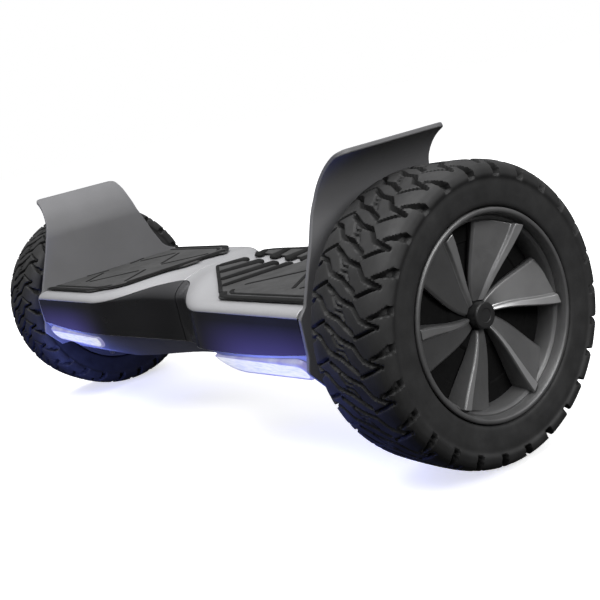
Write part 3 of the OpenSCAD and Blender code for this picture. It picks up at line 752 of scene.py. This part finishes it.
def make_housing(name, side):
    body = f"{name}_half"
    points, faces = closed_sheet(deck_section)
    deck = add_mesh(f"{name}_deck", points, faces, body, MATERIALS["silver_deck"], 40, side)
    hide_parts(f"{name}_deck_shell")
    bevel(deck, 0.7, 3, 60)
    for place_name, flip in (("front", 1), ("rear", -1)):
        points, faces = closed_sheet(panel_section, flip)
        # The front panels carry the lamp's light as a painted glow.
        material = MATERIALS["gloss_black_painted_lamplight" if flip > 0 else "gloss_black"]
        panel = add_mesh(f"{name}_{place_name}_fascia", points, faces, body, material, 40, side)
        if (name, place_name) == ("right", "rear"):
            cut_round(panel, INLET_X, REAR_Z, INLET_HOLE_R)
            cut_round(panel, BUTTON_X, REAR_Z, BUTTON_HOLE_R)
        bevel(panel, 0.7, 3, 60)
        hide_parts(f"{name}_{place_name}_panel")
    points, faces = closed_sheet(lambda x, t: belly_section(x, t, side))
    # The belly's light grey is painted lamp light.
    belly = add_mesh(f"{name}_belly", points, faces, body, MATERIALS["belly_painted_lamplight"], 40, side)
    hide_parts(f"{name}_bottom_shell")
    cut_lens_slot(belly, side)
    bevel(belly, 0.5, 2, 60)
    make_seam_wall(name, side)


def cut(piece, points, faces):
    """Cuts a closed shape, in millimetres, out of a piece for good."""
    mesh = bpy.data.meshes.new("cutter")
    mesh.from_pydata((np.array(points) * MM).tolist(), [], faces)
    face_outwards(mesh)
    face_outwards(piece.data)
    cutter = bpy.data.objects.new("cutter", mesh)
    bpy.context.scene.collection.objects.link(cutter)
    mod = piece.modifiers.new("cut", "BOOLEAN")
    mod.operation = "DIFFERENCE"
    mod.solver = "EXACT"
    mod.object = cutter
    graph = bpy.context.evaluated_depsgraph_get()
    made = bpy.data.meshes.new_from_object(piece.evaluated_get(graph))
    piece.modifiers.remove(mod)
    made.materials.clear()
    for material in piece.data.materials:
        made.materials.append(material)
    piece.data = made
    made.shade_smooth()
    made.set_sharp_from_angle(angle=math.radians(40))
    bpy.data.objects.remove(cutter)


def prism(ring, start, end):
    """A closed prism between two rings of points."""
    count = len(ring)
    points = [tuple(np.array(p) + np.array(start)) for p in ring]
    points += [tuple(np.array(p) + np.array(end)) for p in ring]
    faces = [(i, (i + 1) % count, (i + 1) % count + count, i + count) for i in range(count)]
    faces += [tuple(range(count - 1, -1, -1)), tuple(range(count, 2 * count))]
    return points, faces


def cut_round(piece, x, z, radius):
    ring = [(x + radius * math.cos(a), 0, z + radius * math.sin(a))
            for a in np.linspace(0, 2 * math.pi, 64, endpoint=False)]
    cut(piece, *prism(ring, (0, END_DEPTH + 10, 0), (0, END_DEPTH - 12, 0)))


LENS_X, LENS_LEN, LENS_H, LENS_TAPER = 184.5, 130, 20, 30
LENS_ROLL = math.radians(2.8)
LENS_DOWN = 0.8
SLANT_LOW = np.array((-(END_DEPTH - CHIN_IN), chin_z(LENS_X, 1)))
SLANT_HIGH = np.array((-(END_DEPTH - 0.5), panel_low(LENS_X)))
SLANT_UP = (SLANT_HIGH - SLANT_LOW) / np.linalg.norm(SLANT_HIGH - SLANT_LOW)
SLANT_OUT = np.array((-SLANT_UP[1], SLANT_UP[0]))
SLANT_MID = (SLANT_LOW + SLANT_HIGH) / 2


def on_slant(along, up, out):
    """A point on the slanted face that carries the lamp."""
    along, up = (along * math.cos(LENS_ROLL) - up * math.sin(LENS_ROLL),
                 along * math.sin(LENS_ROLL) + up * math.cos(LENS_ROLL) - LENS_DOWN)
    y, z = SLANT_MID + SLANT_UP * up + SLANT_OUT * out
    return (LENS_X + along, y, z)


def lens_outline(grow, steps=17):
    """The lamp's outline: round at the wheel's end, a long curve at the other."""
    half, r = LENS_LEN / 2, LENS_H / 2
    outline = arc((half - r, 0), r + grow, -90, 90, steps)
    for degrees in np.linspace(90, 0, steps):
        a = math.radians(degrees)
        outline.append((LENS_TAPER - half - (LENS_TAPER + grow) * math.sin(a),
                        r - (LENS_H + grow) * math.cos(a)))
    return outline


def cut_lens_slot(belly, side):
    ring = [on_slant(a, u, 0) for a, u in lens_outline(GAP)]
    ring = [(x * side, y, z) for x, y, z in ring]
    out = np.array((0, *SLANT_OUT))
    cut(belly, *prism(ring, out * 9, out * -10))


# The cover's rings from its back to its crown: (inset from the outline, height).
LENS_RINGS = [(0, -5), (0, 1.2), (0.5, 1.9), (1.4, 2.3), (3.2, 2.46), (5.5, 2.5)]
LENS_RIM_RINGS = 4      # so many rings of faces belong to the darker border


def make_lens_piece(name, side):
    """A shallow dome that stands a little out of its slot."""
    rings = [[on_slant(a, u, out) for a, u in lens_outline(-inset)] for inset, out in LENS_RINGS]
    points, faces = loft(rings)
    piece = add_mesh(f"{name}_lamp_cover", points, faces, f"{name}_half",
                     MATERIALS["lens"], 40, side)
    face_outwards(piece.data)
    piece.data.materials.append(MATERIALS["lens_rim"])
    rim_faces = LENS_RIM_RINGS * len(rings[0])
    for number, face in enumerate(piece.data.polygons):
        face.material_index = 1 if number < rim_faces else 0
    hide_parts(f"{name}_headlight_lens")


def make_seam_wall(name, side):
    """Closes a half at the seam, with a round hole for the pivot."""
    inset = WALL + GAP
    upper = panel_section(SEAM, inset) + deck_section(SEAM, inset)[RAIL_STEPS:RAIL_STEPS + 4]
    lower = belly_section(SEAM, inset, side)[1:6]
    outline = upper + [(-y, z) for y, z in upper[::-1]]
    outline += [(-y, z) for y, z in lower] + lower[::-1]
    outline.sort(key=lambda p: math.atan2(p[1] - AXLE_Z, p[0]))
    rings = []
    for x, radius in ((SEAM, None), (SEAM, PIVOT_HOLE_R), (SEAM + WALL, PIVOT_HOLE_R),
                      (SEAM + WALL, None)):
        ring = []
        for y, z in outline:
            a = math.atan2(z - AXLE_Z, y)
            ring.append((x, y, z) if radius is None
                        else (x, radius * math.cos(a), AXLE_Z + radius * math.sin(a)))
        rings.append(ring)
    points = np.array(rings).reshape(-1, 3)
    faces = grid_faces(4, len(outline), True, True)
    piece = add_mesh(f"{name}_seam_wall", points, faces, f"{name}_half",
                     MATERIALS["matt_black"], 40, side)


# ---------- fender ----------

FENDER_T = 3.5
FLARE_R = 47
FLARE_SHARE = 0.76      # how far the flare leans over the tyre, as a share of its radius
FLARE_Z = 195
CORNER = 8              # radius of the corners at the flare's end
FENDER_COLUMNS = 33
FRONT_EDGE = [(76, -86), (95, -102), (106.5, -99), (133.5, -98.5), (140.5, -92), (182, -75),
              (200, -68.5), (211, -64.5), (226, -61), (241.5, -58)]
BACK_EDGE = [(76, 86), (104, 99), (133.5, 98.5), (140.5, 90), (147, 76), (152, 70), (169, 61.5),
             (185.6, 55.2), (202, 48.5), (219, 45), (241.5, 43)]


def fender_rows():
    """The sheet's inner line as (x, z, outward normal), from its foot to the flare's end."""
    rows = [(FENDER_X, z, (-1.0, 0.0)) for z in np.linspace(FENDER_LOW[2], FLARE_Z, 60)[:-1]]
    end = math.degrees(math.acos(1 - FLARE_SHARE))
    for a in np.linspace(0, end, 40):
        c, s = math.cos(math.radians(a)), math.sin(math.radians(a))
        rows.append((FENDER_X + FLARE_R * (1 - c), FLARE_Z + FLARE_R * s, (-c, s)))
    return rows


def edge_at(edge, z):
    zs, ys = zip(*edge)
    return float(np.interp(z, zs, ys))


def make_fender(name, side):
    rows = fender_rows()
    along = np.concatenate([[0], np.cumsum([math.hypot(b[0] - a[0], b[1] - a[1])
                                            for a, b in zip(rows, rows[1:])])])
    outer, inner = [], []
    for (x, z, (nx, nz)), at in zip(rows, along):
        front, back = edge_at(FRONT_EDGE, z), edge_at(BACK_EDGE, z)
        to_end = along[-1] - at
        if to_end < CORNER:
            inset = CORNER - math.sqrt(CORNER ** 2 - (CORNER - to_end) ** 2)
            front, back = front + inset, back - inset
        ys = np.linspace(front, back, FENDER_COLUMNS)
        outer.append([(x, y, z) for y in ys])
        inner.append([(x - nx * FENDER_T, y, z - nz * FENDER_T) for y in ys])
    points, faces = shell(np.array(outer), np.array(inner))
    piece = add_mesh(f"{name}_fender_sheet", points, faces, f"{name}_half",
                     MATERIALS["fender_grey"], 40, side)
    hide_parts(f"{name}_fender")
    bevel(piece, 1.1, 3, 50)


# ---------- foot pad ----------

PAD_GAP = 1.3
PAD_IN, PAD_OUT = PAD_LOW[0], PAD_HIGH[0]
PAD_Y = PAD_HIGH[1]
SLANT_END, PAD_CORNER = 115, 19         # where the slanted edge ends, and the corner's length
PAD_Y_IN, PAD_Y_SLANT = 26, 76          # half of the depth at both ends of the slanted edge
RIB_T = 1.9           # how far the ribs stand above the plate
PAD_T = PAD_HIGH[2] - MID_TOP - PAD_GAP
PLATE_T = PAD_T - RIB_T


def pad_edge(x):
    """Half of the pad's depth at x: the slanted inner edge, a rounded corner, then straight."""
    slanted = PAD_Y_IN + (PAD_Y_SLANT - PAD_Y_IN) * (x - PAD_IN) / (SLANT_END - PAD_IN)
    rounded = PAD_Y_SLANT + (PAD_Y - PAD_Y_SLANT) * smooth((x - SLANT_END) / PAD_CORNER)
    return np.where(x < SLANT_END, slanted, rounded)


SWEEP_STEP = 0.5
CROWN = [(-1, -1.0), (-0.97, 0.25), (-0.82, 0.72), (-0.5, 0.93), (0, 1.0),
         (0.5, 0.93), (0.82, 0.72), (0.97, 0.25), (1, -1.0)]


def swept(path, widths, height, base, steps=48):
    """A raised strip with a crowned section and round ends, lying on the pad along a path."""
    full, at = resample(path, SWEEP_STEP)
    where = np.linspace(0, full[-1], steps)
    xs, ys = np.interp(where, full, at[:, 0]), np.interp(where, full, at[:, 1])
    dx, dy = np.gradient(xs), np.gradient(ys)
    size = np.hypot(dx, dy)
    nx, ny = -dy / size, dx / size
    grid = []
    for k in range(steps):
        half = widths[0] + (widths[1] - widths[0]) * where[k] / full[-1]
        to_end = min(where[k], full[-1] - where[k], half)
        narrow = math.sqrt(max(0.03, 1 - (1 - to_end / half) ** 2))
        row = []
        for u, v in CROWN:
            px = xs[k] + nx[k] * u * half * narrow
            py = ys[k] + ny[k] * u * half * narrow
            lift = base if v < 0 else base + height * v * (0.35 + 0.65 * narrow)
            row.append((px, py, float(top_z(px)) + lift))
        grid.append(row)
    points = np.array(grid).reshape(-1, 3)
    columns = len(grid[0])
    faces = grid_faces(steps, columns, False, True)
    faces.append(tuple(range(columns)))
    faces.append(tuple((steps - 1) * columns + c for c in range(columns - 1, -1, -1)))
    return points, faces


# The front half's ribs, borders and thin lines on the plate; the rear half mirrors them.
RIBS = [((39, -27), (46, 2)), ((59, -39.5), (65, 5)), ((78, -51), (82, 9)), ((96, -61), (99, 13))]
RIB_WIDTHS = (2.8, 5.8)
REAR_GAP = 9            # between the tips of the front ribs and those of the rear ones
FREE_TIP = 9            # the ribs reach so far past the plate between them
LAST_TIP = RIBS[-1][1][0] + 2   # from here outwards the plate is whole
PLATE_COLUMNS = 25
BORDER_FRONT = [(118, -72.5), (124, -77.5), (134, -83), (146, -84), (252, -84)]
BORDER_SLANT = [(34.5, -24), (36.5, -27.5), (112, -72.5), (119, -75)]
LINES = [[(121, -65), (127, -71), (137, -75.5), (251, -75.5)], [(118, -52), (153, -10)],
         [(198, -58), (160, -14)], [(206, -58), (234, -24)], [(251, -38), (240, -14)]]


def tips_at(x):
    """How far back the front ribs reach at x."""
    xs = [tip[0] for _, tip in RIBS]
    return float(np.interp(x, xs, [tip[1] for _, tip in RIBS]))


def pad_plate(flip):
    """The flat part, from the pad's edge to just short of the ribs' free tips."""
    corner_end = SLANT_END + PAD_CORNER
    xs = np.concatenate([np.linspace(PAD_IN, corner_end, 90),
                         np.linspace(corner_end + 2, PAD_OUT, 40)])
    top, bottom = [], []
    for x in xs:
        edge = -float(pad_edge(x))
        reach = tips_at(x) + (0 if flip > 0 else REAR_GAP)
        free = reach * flip - FREE_TIP
        middle = (REAR_GAP / 2 + tips_at(x)) * flip
        blend = float(smooth((x - LAST_TIP) / 5))
        inner = max(free + (middle - free) * blend, edge + 3)
        ys = np.linspace(edge, inner, PLATE_COLUMNS)
        top.append([(x, y * flip, float(top_z(x)) + PAD_GAP + PLATE_T) for y in ys])
        bottom.append([(x, y * flip, float(top_z(x)) + PAD_GAP) for y in ys])
    return shell(np.array(top), np.array(bottom))


def make_pad(name, side):
    body = f"{name}_pad"
    points, faces = joined([pad_plate(1), pad_plate(-1)])
    plate = add_mesh(f"{name}_pad_plate", points, faces, body, MATERIALS["pad_rubber"], 40, side)
    face_outwards(plate.data)
    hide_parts(f"{name}_foot_pad")
    bevel(plate, 0.5, 2, 50)

    on_plate = PAD_GAP + PLATE_T - 0.2
    strips = []
    for flip in (1, -1):
        for (x0, y0), (x1, y1) in RIBS:
            tip = y1 if flip > 0 else -(y1 + REAR_GAP)
            strips.append(swept([(x0, y0 * flip), (x1, tip * flip)], RIB_WIDTHS,
                                PAD_T, PAD_GAP))
        for path, widths in ((BORDER_FRONT, (3.4, 3.4)), (BORDER_SLANT, (1.5, 2.0))):
            strips.append(swept([(x, y * flip) for x, y in path], widths, 1.1, on_plate, 90))
        for path in LINES:
            strips.append(swept([(x, y * flip) for x, y in path], (2.0, 2.0), 0.9, on_plate, 70))
    points, faces = joined(strips)
    ribs = add_mesh(f"{name}_pad_ribs", points, faces, body, MATERIALS["pad_dark"], 40, side)
    face_outwards(ribs.data)


# ---------- everything else keeps its CAD shape and gets its material ----------

def dress_cad_nodes():
    slots = {row["node"]: row["material_slot"] for row in frame["record"]["subparts"]}
    for node, piece in frame["nodes"].items():
        piece.data.materials.clear()
        piece.data.materials.append(MATERIALS[slots[node]])


def make_pieces():
    dress_cad_nodes()
    for name, side in SIDES.items():
        make_tyre(name, side)
        make_rim_ring(name, side)
        make_rim_plate(name, side)
        make_blades(name, side)
        make_hub(name, side)
        make_housing(name, side)
        make_lens_piece(name, side)
        make_fender(name, side)
        make_pad(name, side)


# ---------- camera, floor and lights ----------

def add_camera():
    data = bpy.data.cameras.new("camera")
    data.lens = CAMERA_LENS
    data.sensor_width = 36
    data.clip_start = 0.01
    camera = bpy.data.objects.new("camera", data)
    bpy.context.scene.collection.objects.link(camera)
    back = -CAMERA_FORWARD.normalized()
    up = (CAMERA_UP - back * CAMERA_UP.dot(back)).normalized()
    right = up.cross(back)
    camera.matrix_world = Matrix((
        (right.x, up.x, back.x, CAMERA_AT.x),
        (right.y, up.y, back.y, CAMERA_AT.y),
        (right.z, up.z, back.z, CAMERA_AT.z),
        (0, 0, 0, 1)))
    bpy.context.scene.camera = camera


def add_floor():
    size = 60
    mesh = bpy.data.meshes.new("floor")
    mesh.from_pydata([(-size, -size, 0), (size, -size, 0), (size, size, 0), (-size, size, 0)],
                     [], [(0, 1, 2, 3)])
    floor = bpy.data.objects.new("floor", mesh)
    bpy.context.scene.collection.objects.link(floor)
    mat = new_material("floor", (0.90, 0.90, 0.90), 0.9, specular=0.0)
    shader_of(mat).inputs["Emission Color"].default_value = (1, 1, 1, 1)
    shader_of(mat).inputs["Emission Strength"].default_value = 0.62
    mesh.materials.append(mat)
    floor.visible_glossy = False
    floor.visible_diffuse = False


def add_area(name, at, towards, size, power, color=(1, 1, 1)):
    data = bpy.data.lights.new(name, "AREA")
    data.shape = "RECTANGLE"
    data.size, data.size_y = size
    data.energy = power
    data.color = color
    lamp = bpy.data.objects.new(name, data)
    bpy.context.scene.collection.objects.link(lamp)
    lamp.location = at
    lamp.rotation_mode = "QUATERNION"
    lamp.rotation_quaternion = (Vector(towards) - Vector(at)).to_track_quat("-Z", "Y")
    return lamp


def add_world():
    world = bpy.data.worlds.new("studio")
    bpy.context.scene.world = world
    world.use_nodes = True
    nodes, links = world.node_tree.nodes, world.node_tree.links
    nodes.clear()
    out = nodes.new("ShaderNodeOutputWorld")
    mix = nodes.new("ShaderNodeMixShader")
    path = nodes.new("ShaderNodeLightPath")
    seen = nodes.new("ShaderNodeBackground")
    seen.inputs["Color"].default_value = (1, 1, 1, 1)
    seen.inputs["Strength"].default_value = 1.0
    lit = nodes.new("ShaderNodeBackground")
    where = nodes.new("ShaderNodeTexCoord")
    parts = nodes.new("ShaderNodeSeparateXYZ")
    height = nodes.new("ShaderNodeValToRGB")
    stops = ((0.0, 0.02), (0.48, 0.05), (0.60, 0.22), (1.0, 0.60))
    while len(height.color_ramp.elements) < len(stops):
        height.color_ramp.elements.new(0.5)
    for element, (at, value) in zip(height.color_ramp.elements, stops):
        element.position, element.color = at, (value, value, value * 1.03, 1)
    shift = nodes.new("ShaderNodeMapRange")
    shift.inputs["From Min"].default_value = -1
    links.new(where.outputs["Generated"], parts.inputs["Vector"])
    links.new(parts.outputs["Z"], shift.inputs["Value"])
    links.new(shift.outputs["Result"], height.inputs["Fac"])
    links.new(height.outputs["Color"], lit.inputs["Color"])
    links.new(path.outputs["Is Camera Ray"], mix.inputs["Fac"])
    links.new(lit.outputs["Background"], mix.inputs[1])
    links.new(seen.outputs["Background"], mix.inputs[2])
    links.new(mix.outputs["Shader"], out.inputs["Surface"])


def add_lights():
    add_area("key", (0.3, -0.5, 1.9), (0.1, 0, 0.1), (1.6, 1.6), 38)
    back = add_area("back_fill", (-0.9, 1.6, 1.4), (0, 0, 0.1), (1.8, 1.2), 26)
    back.visible_glossy = False
    add_area("wheel_light", (1.7, 0.2, 0.9), (0.34, 0, 0.11), (0.7, 0.7), 13)
    for name, side in SIDES.items():
        glow = add_area(f"{name}_glow", (0.20 * side, -0.15, 0.035), (0.27 * side, -0.02, 0.07),
                        (0.08, 0.05), 0.32, (0.20, 0.26, 1.0))
        glow.visible_glossy = False


add_camera()
add_world()
add_floor()
add_lights()
make_pieces()
bpy.context.scene.view_settings.view_transform = "Standard"
